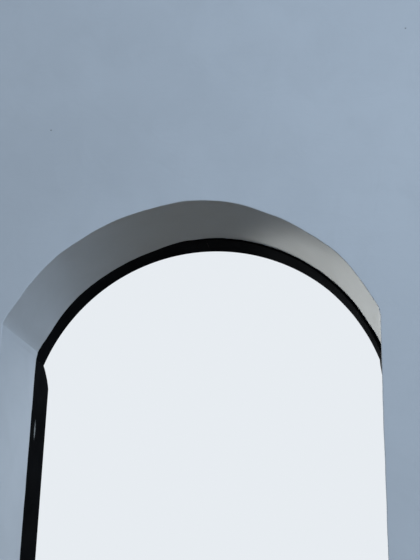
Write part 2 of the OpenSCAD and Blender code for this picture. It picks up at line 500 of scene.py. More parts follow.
def moulding_finish(base):
    """Run moulding under the same paint: streaks along its length, and dust on what faces up."""
    paint = Finish("gateway_moulding")
    # base holds painted shade: the white paint made darker and bluer, as on the wall
    broad = paint.ramp(paint.grain(1.1, 3.0, 0.55), 0.36, 0.64)
    colour = paint.blend(broad, shade(base, 0.95), shade(base, 1.01))
    streak = paint.grain(1.0, 5.0, 0.6, 0.2, paint.stretched(1.6, 150.0, 150.0))
    colour = paint.blend(paint.ramp(streak, 0.45, 0.8, 0.0, 0.3), colour, shade(base, 0.84))
    patches = paint.ramp(paint.grain(22.0, 5.0, 0.7), 0.3, 0.7, 0.35, 0.85)
    colour = paint.blend(paint.times(paint.facing_up(0.25, 0.95), patches), colour, LEDGE_DUST)
    roughness = paint.ramp(paint.grain(9.0, 3.0), 0.3, 0.7, 0.72, 0.86)
    normal = paint.relief(streak, 0.0009, 0.5)
    normal = paint.relief(paint.grain(200.0, 2.0, 0.6), 0.0004, 0.4, normal)
    return paint.done(colour, roughness, normal, PAINT_GLOSS)


def coping_finish(base):
    """Cast slabs, painted on their edges and weathered on top, each a little different."""
    slab = Finish("gateway_coping")
    pitch = 2 * WALL_END / COPING_SLABS
    along = slab.maths("ADD", slab.axis(slab.place, "X"), WALL_END)
    number = slab.maths("FLOOR", slab.maths("DIVIDE", along, pitch))
    own = slab.node("ShaderNodeTexWhiteNoise", noise_dimensions="1D")
    slab.link(number, own.inputs["W"])
    colour = slab.blend(own.outputs["Value"], shade(base, 0.93), shade(base, 1.0))
    mottle = slab.ramp(slab.grain(4.5, 5.0, 0.6, 0.4), 0.35, 0.7)
    colour = slab.blend(slab.times(mottle, 0.4), colour, shade(base, 0.80))
    growth = slab.ramp(slab.grain(15.0, 7.0, 0.72, 0.5), 0.40, 0.72, 0.15, 0.65)
    colour = slab.blend(slab.times(slab.facing_up(0.5, 0.95), growth), colour, SLAB_GROWTH)
    drip = slab.grain(1.0, 5.0, 0.65, 0.0, slab.stretched(26.0, 26.0, 2.2))
    colour = slab.blend(slab.ramp(drip, 0.54, 0.76, 0.0, 0.5), colour, SLAB_DRIP)
    roughness = slab.ramp(slab.grain(30.0, 3.0), 0.3, 0.7, 0.78, 0.94)
    normal = slab.relief(slab.grain(38.0, 5.0, 0.65), 0.0014, 0.5)
    normal = slab.relief(slab.grain(420.0, 2.0, 0.6), 0.0005, 0.5, normal)
    return slab.done(colour, roughness, normal, PAINT_GLOSS)


def pointing_finish(base):
    """Weathered mortar between the coping slabs."""
    mortar = Finish("gateway_pointing")
    tone = mortar.ramp(mortar.grain(60.0, 5.0, 0.7), 0.35, 0.65)
    colour = mortar.blend(tone, shade(base, 0.55), shade(base, 0.75))
    roughness = mortar.ramp(mortar.grain(40.0, 3.0), 0.3, 0.7, 0.85, 0.97)
    normal = mortar.relief(mortar.grain(300.0, 4.0, 0.7), 0.0012, 0.7)
    return mortar.done(colour, roughness, normal, MORTAR_GLOSS)


def steel_finish(base, wear):
    """Dull black paint on steel plate: brushed film, dust, rubbed arrises, and one pale bluish patch on the
    left liner.
    """
    film = Finish("gateway_steel")
    tone = film.ramp(film.grain(2.4, 4.0, 0.6), 0.3, 0.7)
    colour = film.blend(tone, shade(base, 0.75), shade(base, 1.35))
    dust = film.ramp(film.grain(16.0, 6.0, 0.7, 0.3), 0.50, 0.8, 0.0, 0.35)
    colour = film.blend(dust, colour, STEEL_DUST)
    rubbed = film.times(film.edges(0.004), film.ramp(film.grain(34.0, 6.0, 0.72), 0.52, 0.62))
    colour = film.blend(film.times(rubbed, wear), colour, RUBBED_STEEL)
    # A pale bluish patch painted on the left liner's face
    pale_patch = film.patch(PALE_PATCH_PLACE, PALE_PATCH_SIZE, 0.55)
    colour = film.blend(film.times(pale_patch, 0.7), colour, PALE_PATCH_COLOUR)
    roughness = film.ramp(film.grain(8.0, 4.0, 0.6), 0.3, 0.7, 0.66, 0.84)
    strokes = film.grain(1.0, 4.0, 0.6, 0.0, film.stretched(70.0, 70.0, 4.0))
    normal = film.relief(strokes, 0.0004, 0.4)
    normal = film.relief(film.grain(150.0, 2.0, 0.5), 0.0003, 0.4, normal)
    return film.done(colour, roughness, normal, STEEL_GLOSS)


# Sizes and colours that a user would change

class WallSettings(bpy.types.PropertyGroup):
    arris: FloatProperty(
        name="Arris radius", description="Radius of the render's hand-rounded arrises",
        default=0.0036, min=0.001, max=0.012, unit="LENGTH")
    wander: FloatProperty(
        name="Arris wander", description="How far the hand-formed arrises wander off their line",
        default=0.0014, min=0.0, max=0.004, unit="LENGTH")
    face_wave: FloatProperty(
        name="Face waves", description="Depth of the long waves that the float leaves in the faces",
        default=0.0024, min=0.0, max=0.006, unit="LENGTH")
    # The default is darker and bluer than the wall's white paint: painted shade, the cool dim tone of white
    # paint in skylit shade
    paint: FloatVectorProperty(
        name="Wall paint", description="Colour of the wall paint",
        default=(0.385, 0.458, 0.55), size=3, min=0.0, max=1.0, subtype="COLOR")


class LiningSettings(bpy.types.PropertyGroup):
    edge: FloatProperty(
        name="Edge radius", description="Radius of the steel's dressed edges",
        default=0.0016, min=0.0005, max=0.003, unit="LENGTH")
    weld: FloatProperty(
        name="Weld size", description="Radius of the weld beads",
        default=0.0028, min=0.001, max=0.005, unit="LENGTH")
    wear: FloatProperty(
        name="Wear", description="How much of the paint is rubbed off the arrises",
        default=0.6, min=0.0, max=1.0, subtype="FACTOR")
    paint: FloatVectorProperty(
        name="Steel paint", description="Colour of the steel's paint",
        default=(0.0024, 0.0030, 0.0040), size=3, min=0.0, max=1.0, subtype="COLOR")


class CorniceSettings(bpy.types.PropertyGroup):
    arris: FloatProperty(
        name="Arris radius", description="Radius of the moulding's arrises under their paint",
        default=0.0022, min=0.0005, max=0.004, unit="LENGTH")
    waver: FloatProperty(
        name="Waver", description="How far the run moulding wavers along its length",
        default=0.0012, min=0.0, max=0.003, unit="LENGTH")
    # The default is darker and bluer than the moulding's white paint: painted shade, as on the wall
    paint: FloatVectorProperty(
        name="Moulding paint", description="Colour of the moulding's paint",
        default=(0.39, 0.462, 0.55), size=3, min=0.0, max=1.0, subtype="COLOR")


class CopingSettings(bpy.types.PropertyGroup):
    arris: FloatProperty(
        name="Arris radius", description="Radius of the slabs' weathered arrises",
        default=0.004, min=0.001, max=0.008, unit="LENGTH")
    pointing: FloatProperty(
        name="Pointing depth", description="How far the pointing lies behind the slabs' faces",
        default=0.003, min=0.001, max=0.010, unit="LENGTH")
    paint: FloatVectorProperty(
        name="Slab colour", description="Colour of the painted slabs",
        default=(0.45, 0.49, 0.535), size=3, min=0.0, max=1.0, subtype="COLOR")


class StageSettings(bpy.types.PropertyGroup):
    front_light: FloatProperty(
        name="Front light", description="Power of the large lamp in front of the wall",
        default=1080.0, min=0.0, unit="POWER")
    court_light: FloatProperty(
        name="Courtyard light", description="Power of the low, warm lamp on the courtyard side",
        default=300.0, min=0.0, unit="POWER")
    rear_light: FloatProperty(
        name="Rear light", description="Power of the large lamp above the courtyard",
        default=900.0, min=0.0, unit="POWER")
    sky: FloatProperty(
        name="Sky light", description="Strength of the even light from all round",
        default=0.26, min=0.0, max=2.0)
    floor: FloatProperty(
        name="Floor size", description="Width of the pale floor",
        default=80.0, min=10.0, unit="LENGTH")
    backdrop: FloatVectorProperty(
        name="Backdrop", description="Colour that shows behind the wall",
        default=(0.80, 0.84, 0.88), size=3, min=0.0, max=1.0, subtype="COLOR")


# Rendered wall

def hump(places, at):
    """Offset in metres at an angle or a height, eased from one listed place to the next."""
    if at <= places[0][0]:
        return places[0][1] / 1000
    for (low, first), (high, second) in zip(places, places[1:]):
        if at <= high:
            return (first + (second - first) * ease(at, low, high)) / 1000
    return places[-1][1] / 1000


def on_circle(radius, centre_z, angle):
    """X and Z at an angle from the crown, in degrees, of a circle centred over the doorway."""
    turn = math.radians(angle)
    return Vector((radius * math.sin(turn), centre_z + radius * math.cos(turn)))


class Station:
    """One place along the edge of the opening, as X and Z on each of its lines.

    front and seat are the plaster's edges, back is the back of the steel, and outer the wall's edge.
    """

    def __init__(self, front, seat, back, outer):
        self.front = front
        self.seat = seat
        self.back = back
        self.outer = outer
        self.normal = None


def plaster_line(humps, angle):
    """X and Z of the plaster's uneven arch at an angle from the crown."""
    return on_circle(PLASTER_R + hump(humps, angle), PLASTER_CENTRE_Z, angle)


def kept_over_steel(point):
    """Keeps the plaster's rear edge on the front edge of the steel band, by at least a margin."""
    margin = 0.002
    limit = BAND_BACK_R - margin
    arm = point - Vector((0, BAND_CENTRE_Z))
    if arm.length > limit:
        arm *= limit / arm.length
    return Vector((0, BAND_CENTRE_Z)) + arm


def jamb_line(side, height, spring_angle, jamb_humps, arch_humps):
    """A place on a jamb, whose plaster eases over to the arch's line just under the springing."""
    offset = hump(jamb_humps, height)
    arch_offset = plaster_line(arch_humps, side * spring_angle).x * side - HALF_OPENING
    offset += (arch_offset - offset) * ease(height, SPRING_Z - CORNER_EASE, SPRING_Z)
    return Vector((side * (HALF_OPENING + offset), height))


def jamb_station(side, height, spring_angle, back):
    """The station at a height on the left or right jamb."""
    front_humps, seat_humps = LEFT_FRONT_HUMPS, LEFT_SEAT_HUMPS
    if side > 0:
        front_humps, seat_humps = RIGHT_FRONT_HUMPS, RIGHT_SEAT_HUMPS
    return Station(jamb_line(side, height, spring_angle, front_humps, FRONT_HUMPS),
                   jamb_line(side, height, spring_angle, seat_humps, SEAT_HUMPS),
                   back, Vector((side * WALL_END, height)))


def jamb_stations(side, spring_angle):
    """Places up one jamb, closer together at the head of the liner and at the springing."""
    joint_x = math.sqrt(BAND_BACK_R ** 2 - (JOINT_Z - BAND_CENTRE_Z) ** 2)
    last_even = JOINT_Z - 0.006
    gap = 0.0005
    made = []
    for k in range(JAMB_ROWS + 1):
        height = last_even * k / JAMB_ROWS
        made.append(jamb_station(side, height, spring_angle, Vector((side * LINER_BACK_X, height))))
    below = Vector((side * LINER_BACK_X, JOINT_Z))
    above = Vector((side * joint_x, JOINT_Z))
    made.append(jamb_station(side, JOINT_Z - gap, spring_angle, below))
    made.append(jamb_station(side, JOINT_Z + gap, spring_angle, above))
    for height in (JOINT_Z + 0.007, JOINT_Z + 0.014, JOINT_Z + 0.020, SPRING_Z - 0.002):
        reach = math.sqrt(BAND_BACK_R ** 2 - (height - BAND_CENTRE_Z) ** 2)
        made.append(jamb_station(side, height, spring_angle, Vector((side * reach, height))))
    return made


def arch_stations(spring_angle):
    """Places over the arch, fanned out to the wall's ends and top."""
    made = []
    rise = WALL_TOP - SPRING_Z
    corner = math.degrees(math.atan2(WALL_END, rise))
    fan = 90 / spring_angle
    near_corner = round((1 - corner / 90) * ARCH_ROWS / 2)
    for k in range(ARCH_ROWS + 1):
        angle = -spring_angle + 2 * spring_angle * k / ARCH_ROWS
        ray = math.radians(angle * fan)
        stretch = min(WALL_END / max(1e-9, abs(math.sin(ray))), rise / max(1e-9, math.cos(ray)))
        outer = Vector((stretch * math.sin(ray), SPRING_Z + stretch * math.cos(ray)))
        if k in (near_corner, ARCH_ROWS - near_corner):
            outer = Vector((math.copysign(WALL_END, angle), WALL_TOP))
        seat = kept_over_steel(plaster_line(SEAT_HUMPS, angle))
        made.append(Station(plaster_line(FRONT_HUMPS, angle), seat,
                            on_circle(BAND_BACK_R, BAND_CENTRE_Z, angle), outer))
    return made


def all_stations():
    """The stations from the left foot over the arch to the right foot, with their normals."""
    spring_angle = math.degrees(math.acos((SPRING_Z - PLASTER_CENTRE_Z) / PLASTER_R))
    right = jamb_stations(1, spring_angle)
    made = jamb_stations(-1, spring_angle) + arch_stations(spring_angle) + right[::-1]
    for i, station in enumerate(made):
        before = made[max(0, i - 1)]
        after = made[min(len(made) - 1, i + 1)]
        station.normal = normal_of(after.front - before.front)
    return made


def wall_wave(x, y, z, depth, seed):
    """How deep the float's waves lie in a face: none where the cornice and the next bays meet it."""
    kept = ease(z, CORNICE_FOOT - 0.15, CORNICE_FOOT - 0.02)
    ends = ease(abs(x), WALL_END - 0.20, WALL_END - 0.02)
    swell = 0.5 + 0.35 * wave(x, y, z, 0.75, seed) + 0.25 * wave(x, y, z, 0.28, seed + 1)
    return depth * max(0.0, swell) * (1 - kept) * (1 - ends)


def outer_end(station):
    """Where a face ends, at the rounded edge of the wall's ends and top."""
    return Vector((station.outer.x * (1 - END_EDGE / WALL_END), min(station.outer.y, WALL_TOP - END_EDGE)))


class BayRings:
    """The rendered bay as rings around its section, each with one point for every station."""

    def __init__(self, settings):
        self.settings = settings
        self.stations = all_stations()
        self.rings = []

    def add(self, point_at, *where):
        """Adds the ring that point_at gives when it is called for each station with where."""
        self.rings.append([Vector(point_at(station, *where)) for station in self.stations])

    def arris(self, station):
        """Radius of the front arris, which isn't even along its length."""
        return self.settings.arris * (1 + 0.3 * wave(station.front.x, 0, station.front.y, 0.12, 4))

    def reveal(self, station, y):
        """X and Z of the reveal at a depth, with the plaster's small waves."""
        share = (y - FRONT_Y) / (SEAT_Y - FRONT_Y)
        place = station.front.lerp(station.seat, share)
        near = math.exp(-(y - FRONT_Y) / 0.05)
        drift = self.settings.wander * near * wave(place.x, y, place.y, 0.055, 9)
        loose = 0.5 * self.settings.face_wave * (1 - ease(share, 0.8, 1.0))
        drift += loose * wave(place.x, y, place.y, 0.33, 11)
        ragged = 0.8 * self.settings.wander * math.exp(-(SEAT_Y - y) / 0.012)
        drift += ragged * wave(place.x, 0, place.y, 0.030, 21)
        return place + station.normal * drift

    def front_point(self, station, share):
        """On the front face, at a share of the way from the arris out to the wall's edge."""
        start = self.reveal(station, FRONT_Y) + station.normal * self.arris(station)
        place = start.lerp(outer_end(station), share)
        near = 1 - ease(share, 0, 0.05)
        lip = 0.4 * self.settings.wander * near * wave(place.x, 0, place.y, 0.07, 15)
        depth = wall_wave(place.x, FRONT_Y, place.y, self.settings.face_wave, 2) + abs(lip)
        return place.x, FRONT_Y + depth, place.y

    def rim_point(self, station, face_y, inwards, angle):
        """On the rounded edge between a face and the wall's ends and top."""
        held = END_EDGE * (1 - math.sin(angle))
        y = face_y + inwards * END_EDGE * (1 - math.cos(angle))
        return station.outer.x * (1 - held / WALL_END), y, min(station.outer.y, WALL_TOP - held)

    def end_point(self, station, y):
        """On the wall's ends and top."""
        return station.outer.x, y, station.outer.y

    def rear_point(self, station, share):
        """On the rear face, at a share of the way from the steel's back out to the wall's edge."""
        place = station.back.lerp(outer_end(station), share)
        clear = ease((place - station.back).length, 0.09, 0.25)
        depth = wall_wave(place.x, REAR_Y, place.y, self.settings.face_wave, 6) * clear
        return place.x, REAR_Y - depth, place.y

    def back_point(self, station):
        """Behind the steel, at the depth of its seat."""
        return station.back.x, SEAT_Y, station.back.y

    def seat_point(self, station, angle):
        """On the rounded edge of the plaster against the steel."""
        y = SEAT_Y - SEAT_EDGE * (1 - math.cos(angle))
        place = self.reveal(station, y) + station.normal * SEAT_EDGE * (1 - math.sin(angle))
        return place.x, y, place.y

    def reveal_point(self, station, share):
        """On the reveal, at a share of the way from the front arris to the seat."""
        start_y = FRONT_Y + self.arris(station)
        y = start_y + (SEAT_Y - SEAT_EDGE - start_y) * share
        place = self.reveal(station, y)
        return place.x, y, place.y

    def arris_point(self, station, angle):
        """On the rounded front arris, which goes over into the lip of the face."""
        radius = self.arris(station)
        y = FRONT_Y + radius * (1 - math.cos(angle))
        place = self.reveal(station, y) + station.normal * radius * (1 - math.sin(angle))
        lip = self.front_point(station, 0)[1] - FRONT_Y
        return place.x, y + lip * math.cos(angle), place.y

    def shape(self):
        """Runs the rings once around the section, from the front arris outwards, and joins them."""
        quarter = [math.pi / 2 * k / EDGE_STEPS for k in range(EDGE_STEPS + 1)]
        for share in FACE_SHARES:
            self.add(self.front_point, share)
        for angle in quarter[1:]:
            self.add(self.rim_point, FRONT_Y, 1, angle)
        for k in range(1, END_STEPS):
            y = FRONT_Y + END_EDGE + (REAR_Y - FRONT_Y - 2 * END_EDGE) * k / END_STEPS
            self.add(self.end_point, y)
        for angle in reversed(quarter):
            self.add(self.rim_point, REAR_Y, -1, angle)
        for share in FACE_SHARES[-2::-1]:
            self.add(self.rear_point, share)
        self.add(self.back_point)
        for angle in quarter:
            self.add(self.seat_point, angle)
        for k in range(REVEAL_STEPS - 1, 0, -1):
            self.add(self.reveal_point, k / REVEAL_STEPS)
        for angle in reversed(quarter[1:]):
            self.add(self.arris_point, angle)
        return self.closed()

    def closed(self):
        """The rings' points, and the faces between them and under both feet of the bay."""
        size = len(self.stations)
        count = len(self.rings)
        verts = [point for ring in self.rings for point in ring]
        faces = []
        for r in range(count):
            for i in range(size - 1):
                a = r * size + i
                b = (r + 1) % count * size + i
                faces.append((a, a + 1, b + 1, b))
        faces.append(tuple(r * size for r in range(count)))
        faces.append(tuple(r * size + size - 1 for r in range(count)))
        return verts, faces


class GATEWAY_OT_wall(bpy.types.Operator):
    """Forms the rendered wall around the opening as one mass of masonry"""
    bl_idname = "gateway.wall"
    bl_label = "Rendered Wall"

    def execute(self, context):
        settings = context.scene.gateway_wall
        finish = wall_finish(tuple(settings.paint))
        new_piece("rendered_wall", BayRings(settings).shape(), finish,
                  ("pier_left", "pier_right", "spandrel_left", "spandrel_right", "wall_head"))
        return {"FINISHED"}


# Steel lining

def band_stray(angle):
    """How far the steel band strays from its circle, at an angle that is below 0 on the left."""
    return hump(RIGHT_BAND_HUMPS, angle)


def head_stray(side, height):
    """How far the steel of a jamb follows the band's foot, just under their joint."""
    angle = math.acos((JOINT_Z - BAND_CENTRE_Z) / BAND_R)
    foot = band_stray(side * math.degrees(angle)) * math.sin(angle)
    return foot * ease(height, JOINT_Z - HEAD_EASE, JOINT_Z)


def around_band(side, length):
    """Place function for a section of depth and radius, from the liner's head to the crown."""

    def place(point, along):
        turn = math.acos((JOINT_Z - BAND_CENTRE_Z) / point.y) * (1 - along / length)
        radius = point.y + band_stray(side * math.degrees(turn))
        return Vector((side * radius * math.sin(turn), point.x, BAND_CENTRE_Z + radius * math.cos(turn)))

    return place


def rectangle(x0, y0, x1, y1):
    """Outline of a rectangle between two corners."""
    return [Vector((x0, y0)), Vector((x1, y0)), Vector((x1, y1)), Vector((x0, y1))]


def band_shape(side, low_y, high_y, low_r, high_r, edge):
    """Half of the band or of its flange, between two depths and two radii."""
    length = high_r * math.acos((JOINT_Z - BAND_CENTRE_Z) / high_r)
    outline = soften(rectangle(low_y, low_r, high_y, high_r), edge)
    return run(outline, 0.0, length, rounding=0.85 * edge, cuts=84, place=around_band(side, length))


def liner_outline():
    """Jamb liner seen along X, with the shoulder that leads from the band's rim to its rear edge."""
    foot = Vector((LINER_RIM_Y, JOINT_Z - SHOULDER_H))
    head = Vector((BAND_RIM_Y, JOINT_Z))
    half_chord = (head - foot).length / 2
    centre = (foot + head) / 2 + normal_of(head - foot) * math.sqrt(SHOULDER_R ** 2 - half_chord ** 2)
    first = foot - centre
    turn = first.angle_signed(head - centre)
    arc_steps = 14
    arc = [centre + Matrix.Rotation(-turn * k / arc_steps, 2) @ first for k in range(arc_steps + 1)]
    front_steps = 6
    front = [Vector((SEAT_Y, JOINT_Z - SHOULDER_H * k / front_steps)) for k in range(front_steps + 1)]
    return [Vector((SEAT_Y, 0)), Vector((LINER_RIM_Y, 0))] + arc + front


def leaning(side):
    """Place function for a liner's section, whose rear edge leans out of square under its shoulder."""
    most = RIGHT_LEAN if side > 0 else LEFT_LEAN

    def place(point, along):
        back = (point.x - SEAT_Y) / (LINER_RIM_Y - SEAT_Y)
        lean = most * back * ease(JOINT_Z - point.y, 0.0, SHOULDER_H)
        return Vector((side * (along + lean + head_stray(side, point.y)), point.x, point.y))

    return place


def liner_shape(side, edge):
    """One jamb liner, cut from flat plate."""
    outline = soften(liner_outline(), edge)
    return run(outline, LINER_FACE_X, LINER_BACK_X, rounding=0.85 * edge, cuts=2, place=leaning(side))


def jamb_flange_shape(side, edge):
    """The flat strip beside one liner on the courtyard face."""
    outline = soften(rectangle(LINER_BACK_X, REAR_Y, FLANGE_END_X, FLANGE_FACE_Y), edge)

    def place(point, along):
        return Vector((side * (point.x + head_stray(side, along)), point.y, along))

    return run(outline, 0.0, JOINT_Z, rounding=0.85 * edge, cuts=30, place=place)


def bead(path, radius, seed):
    """Rippled weld bead along a path of close points, thinner where it starts and stops."""
    sides = 8
    verts = []
    for i, here in enumerate(path):
        way = (path[min(i + 1, len(path) - 1)] - path[max(i - 1, 0)]).normalized()
        across = way.orthogonal().normalized()
        other = way.cross(across)
        end = min(i, len(path) - 1 - i)
        ripple = 1 + 0.10 * math.sin(i * 2.1) + 0.12 * wave(here.x, here.y, here.z, 0.012, seed)
        size = radius * ripple * math.sqrt(min(1.0, (end + 0.3) / 3))
        for k in range(sides):
            angle = 2 * math.pi * k / sides
            verts.append(here + (across * math.cos(angle) + other * math.sin(angle)) * size)
    faces = [tuple(range(sides)), tuple(range(len(verts) - sides, len(verts)))]
    for level in range(len(path) - 1):
        for k in range(sides):
            a = level * sides + k
            b = level * sides + (k + 1) % sides
            faces.append((a, b, b + sides, a + sides))
    return verts, faces


def straight(start, end, step=0.0012):
    """Close points on a straight line."""
    count = max(4, round((end - start).length / step))
    return [start.lerp(end, k / count) for k in range(count + 1)]


def arch_stitch(middle):
    """Path of one stitch where the flange meets the band's back, around an angle from the crown."""
    steps = 41
    path = []
    for k in range(steps + 1):
        angle = middle + ARCH_STITCH_LENGTH * (k / steps - 0.5)
        flat = on_circle(BAND_BACK_R + band_stray(angle), BAND_CENTRE_Z, angle)
        path.append(Vector((flat.x, FLANGE_FACE_Y, flat.y)))
    return path


def weld_shape(size):
    """Seams across the lining at its joints, and stitches where the flange meets its back."""
    seam = 0.6 * size
    sunk = 0.4 * size
    seam_y = FLANGE_FACE_Y - sunk
    parts = []
    for side in (-1, 1):
        stray = head_stray(side, JOINT_Z)
        seam_x = side * (LINER_FACE_X + stray + sunk)
        joint = [Vector((seam_x, y, JOINT_Z)) for y in (SEAT_Y, BAND_RIM_Y)]
        parts.append(bead(straight(*joint), seam, 1))
        flange_joint = [Vector((side * (x + stray), seam_y, JOINT_Z)) for x in (LINER_BACK_X, FLANGE_END_X)]
        parts.append(bead(straight(*flange_joint), seam, 2))
        for k in range(JAMB_STITCHES):
            start = Vector((side * LINER_BACK_X, FLANGE_FACE_Y, FIRST_STITCH_Z + STITCH_PITCH * k))
            parts.append(bead(straight(start, start + Vector((0, 0, STITCH_LENGTH))), size, 3 + k))
    for k in range(ARCH_STITCHES):
        middle = (k - (ARCH_STITCHES - 1) / 2) * ARCH_STITCH_PITCH
        parts.append(bead(arch_stitch(middle), size, 20 + k))
    crown = [Vector((0, y, BAND_CENTRE_Z + BAND_R + sunk)) for y in (SEAT_Y, BAND_RIM_Y)]
    parts.append(bead(straight(*crown), seam, 40))
    return joined(parts)


class GATEWAY_OT_lining(bpy.types.Operator):
    """Dresses the steel lining: bands, jamb liners, flanges and their welds"""
    bl_idname = "gateway.lining"
    bl_label = "Steel Lining"

    def execute(self, context):
        settings = context.scene.gateway_lining
        edge = settings.edge
        finish = steel_finish(tuple(settings.paint), settings.wear)
        for word, side in (("left", -1), ("right", 1)):
            band = band_shape(side, SEAT_Y, BAND_RIM_Y, BAND_R, BAND_BACK_R, edge)
            new_piece(f"steel_band_{word}", band, finish, (f"arch_band_{word}",))
            ring = band_shape(side, REAR_Y, FLANGE_FACE_Y, BAND_BACK_R, FLANGE_R, edge)
            new_piece(f"steel_ring_{word}", ring, finish, (f"arch_flange_{word}",))
            liner = liner_shape(side, edge)
            new_piece(f"steel_liner_{word}", liner, finish, (f"jamb_liner_{word}",))
            strip = jamb_flange_shape(side, edge)
            new_piece(f"steel_strip_{word}", strip, finish, (f"jamb_flange_{word}",))
        new_piece("steel_welds", weld_shape(settings.weld), finish, crisp=80.0)
        return {"FINISHED"}


# Cornice

def cove(foot, top, height, level):
    """Hollow that leaves its foot upright and meets its top at an angle."""
    width = top - foot
    radius = (width ** 2 + height ** 2) / (2 * width)
    steps = 12
    rises = [height * k / steps for k in range(steps + 1)]
    return [(foot + radius - math.sqrt(radius ** 2 - rise ** 2), level + rise) for rise in rises]


def roundel(reach, height, level, first, last):
    """Half round from one angle to another, measured from straight down."""
    steps = 12
    radius = height / 2
    points = []
    for k in range(steps + 1):
        angle = math.radians(first + (last - first) * k / steps)
        points.append((reach - radius + radius * math.sin(angle), level + radius - radius * math.cos(angle)))
    return points


def cornice_outline():
    """Section of the cornice as reach from the wall's face and height over its foot, in metres."""
    level = LOW_FASCIA[1]
    points = [(0, 0), (LOW_FASCIA[0], 0), (LOW_FASCIA[0], level), (HIGH_FASCIA[0], level)]
    level += HIGH_FASCIA[1]
    points.append((HIGH_FASCIA[0], level))
    points += cove(LOW_COVE_FOOT, LOW_COVE_TOP, LOW_COVE_H, level)
    level += LOW_COVE_H
    points += [(TORUS_QUIRK[0], level), (TORUS_QUIRK[0], level + TORUS_QUIRK[1])]
    level += TORUS_QUIRK[1]
    points += roundel(*TORUS, level, 0, 158)
    level += TORUS[1]
    points += cove(HIGH_COVE_FOOT, HIGH_COVE_TOP, HIGH_COVE_H, level)
    level += HIGH_COVE_H
    points += roundel(*BEAD, level, 0, 180)
    level += BEAD[1]
    points += [(TOP_QUIRK[0], level), (TOP_QUIRK[0], level + TOP_QUIRK[1]), (0, level + TOP_QUIRK[1])]
    return [Vector((reach / 1000, height / 1000)) for reach, height in points]


def cornice_shape(side, low_x, high_x, settings):
    """One length of the cornice, with the waver of a moulding run by hand."""
    outline = soften(cornice_outline(), settings.arris)
    seed = 30 + side

    def place(point, along):
        off_wall = ease(point.x, 0.004, 0.020)
        under_slabs = 1 - ease(point.y, 0.395, 0.405)
        swell = 0.5 + 0.6 * wave(along, point.y, 0, 0.45, seed)
        slip = settings.waver * off_wall * under_slabs * swell
        return Vector((along, side * (REAR_Y + point.x - max(0.0, slip)), CORNICE_FOOT + point.y))

    return run(outline, low_x, high_x, rounding=0.6 * settings.arris, cuts=26, place=place)


class GATEWAY_OT_cornice(bpy.types.Operator):
    """Runs the moulded cornice in lengths along both faces"""
    bl_idname = "gateway.cornice"
    bl_label = "Cornice"

    def execute(self, context):
        settings = context.scene.gateway_cornice
        finish = moulding_finish(tuple(settings.paint))
        for word, side in (("front", -1), ("rear", 1)):
            for number in range(1, CORNICE_LENGTHS + 1):
                node = f"cornice_{word}_{number}"
                low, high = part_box(node)
                new_piece(f"moulding_{word}_{number}", cornice_shape(side, low.x, high.x, settings),
                          finish, (node,))
        return {"FINISHED"}


# Coping

def coping_outline():
    """Section of a slab as depth and height over its bed, with a throat under each edge."""
    edge_y = COPING_HIGH.y
    ridge_h = COPING_HIGH.z - COPING_LOW.z
    inner = edge_y - THROAT_IN - THROAT_W / 2
    outer = inner + THROAT_W
    half = [(inner, 0), (inner, THROAT_D), (outer, THROAT_D), (outer, 0), (edge_y, 0)]
    points = [(-y, height) for y, height in reversed(half)] + half
    points.append((edge_y, SLAB_EDGE_H))
    steps = 8
    for k in range(1, 2 * steps):
        share = 1 - k / steps
        points.append((edge_y * share, SLAB_EDGE_H + (ridge_h - SLAB_EDGE_H) * (1 - abs(share))))
    points.append((-edge_y, SLAB_EDGE_H))
    return [Vector(point) for point in points]


def slab_shape(low_x, high_x, settings, seed):
    """One coping slab, whose weathered top is a little sunk in places."""
    outline = soften(coping_outline(), settings.arris)

    def place(point, along):
        top = ease(point.y, 0.024, 0.034)
        sunk = 0.0012 * top * max(0.0, 0.5 + 0.6 * wave(along, point.x, 0, 0.21, seed))
        return Vector((along, point.x, COPING_LOW.z + point.y - sunk))

    return run(outline, low_x, high_x, rounding=0.6 * settings.arris, cuts=12, place=place)


class GATEWAY_OT_coping(bpy.types.Operator):
    """Lays the coping slabs and points the joints between them"""
    bl_idname = "gateway.coping"
    bl_label = "Coping"

    def execute(self, context):
        settings = context.scene.gateway_coping
        finish = coping_finish(tuple(settings.paint))
        boxes = [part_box(f"coping_{number}") for number in range(1, COPING_SLABS + 1)]
        for number, (low, high) in enumerate(boxes, 1):
            new_piece(f"slab_{number}", slab_shape(low.x, high.x, settings, 50 + number), finish,
                      (f"coping_{number}",))
        bed = soften(inset(coping_outline(), settings.pointing), 0.001, 1)

        def place(point, along):
            return Vector((along, point.x, COPING_LOW.z + point.y))

        joints = []
        for (_, before), (after, _) in zip(boxes, boxes[1:]):
            joints.append(run(bed, before.x - POINTING_LAP, after.x + POINTING_LAP,
                              rounding=0.0005, cuts=2, place=place, steps=1))
        new_piece("coping_pointing", joined(joints), pointing_finish(tuple(settings.paint)))
        return {"FINISHED"}


# Stage

def shows_background(tree):
    """1 for the rays that show the background: from the camera, off gloss and through glass."""
    path = tree.nodes.new("ShaderNodeLightPath")
    shown = path.outputs["Is Camera Ray"]
    for ray in ("Is Glossy Ray", "Is Transmission Ray"):
        most = tree.nodes.new("ShaderNodeMath")
        most.operation = "MAXIMUM"
        tree.links.new(shown, most.inputs[0])
        tree.links.new(path.outputs[ray], most.inputs[1])
        shown = most.outputs["Value"]
    return shown


def pale_floor(backdrop):
    """Floor that shows pale all over and keeps shadows, but throws little light back at the wall.

    What it gives off by itself and what the lamps light on it come near to the backdrop's colour.
    """
    floor = Finish("stage_floor")
    seen = shows_background(floor.tree)
    tone = floor.ramp(floor.grain(0.6, 3.0), 0.3, 0.7)
    shown = floor.blend(tone, shade(backdrop, 0.20), shade(backdrop, 0.215))
    colour = floor.blend(seen, FLOOR_THROW, shown)
    floor.link(seen, floor.shader.inputs["Emission Strength"])
    floor.shader.inputs["Emission Color"].default_value = (*shade(backdrop, 0.66), 1.0)
    roughness = floor.ramp(floor.grain(3.0, 2.0), 0.3, 0.7, 0.88, 0.96)
    normal = floor.relief(floor.grain(40.0, 2.0), 0.001, 0.1)
    return floor.done(colour, roughness, normal, FLOOR_GLOSS)


